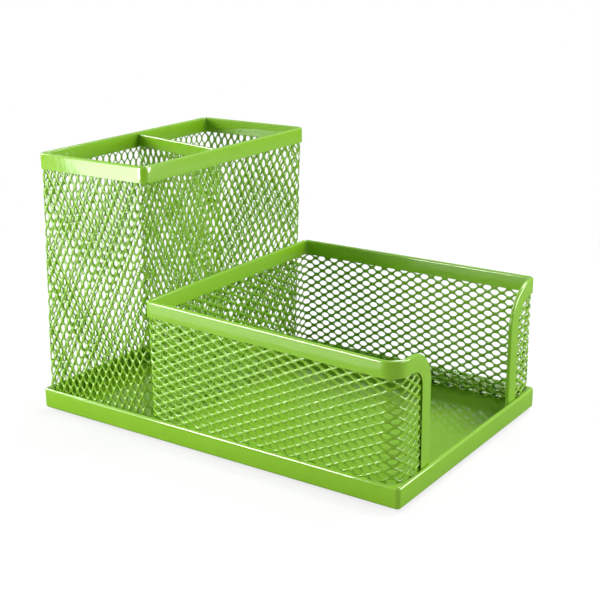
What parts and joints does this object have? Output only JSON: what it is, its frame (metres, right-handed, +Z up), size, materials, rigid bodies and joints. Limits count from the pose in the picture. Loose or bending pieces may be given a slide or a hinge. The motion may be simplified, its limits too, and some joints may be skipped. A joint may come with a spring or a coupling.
{
  "type": "desk organizer",
  "caption": "Desk organizer of expanded-metal sheet on a pressed base pan: a tall pen cup with a divider beside a low memo tray whose front is open between two posts.",
  "frame": {"origin": "middle of the foot print, on the plane that the pads stand on", "axes": "+X along the long side from the pen cup to the open front of the memo tray, +Y from the near long side to the far one, +Z up"},
  "size_m": [0.157, 0.103, 0.1],
  "materials": {
    "pan_paint": "glossy lime-green powder coat on pressed sheet steel",
    "mesh_paint": "glossy lime-green powder coat on expanded steel mesh, thicker at the knuckles",
    "trim_paint": "glossy lime-green powder coat on folded steel channel",
    "pad_rubber": "matte dark rubber"
  },
  "bodies": {
    "root": {"base_pan": "pan_paint", "foot_pads": "pad_rubber", "cup_wall_near": "mesh_paint", "cup_wall_far": "mesh_paint", "cup_wall_outer": "mesh_paint", "cup_wall_inner": "mesh_paint", "cup_corner_bends": "mesh_paint", "cup_rim": "trim_paint", "divider_mesh": "mesh_paint", "divider_cap": "trim_paint", "tray_wall_near": "mesh_paint", "tray_wall_far": "mesh_paint", "tray_wall_back": "mesh_paint", "tray_return_near": "mesh_paint", "tray_return_far": "mesh_paint", "tray_corner_bends": "mesh_paint", "tray_rim": "trim_paint", "near_post": "trim_paint", "far_post": "trim_paint"}
  },
  "joints": []
}
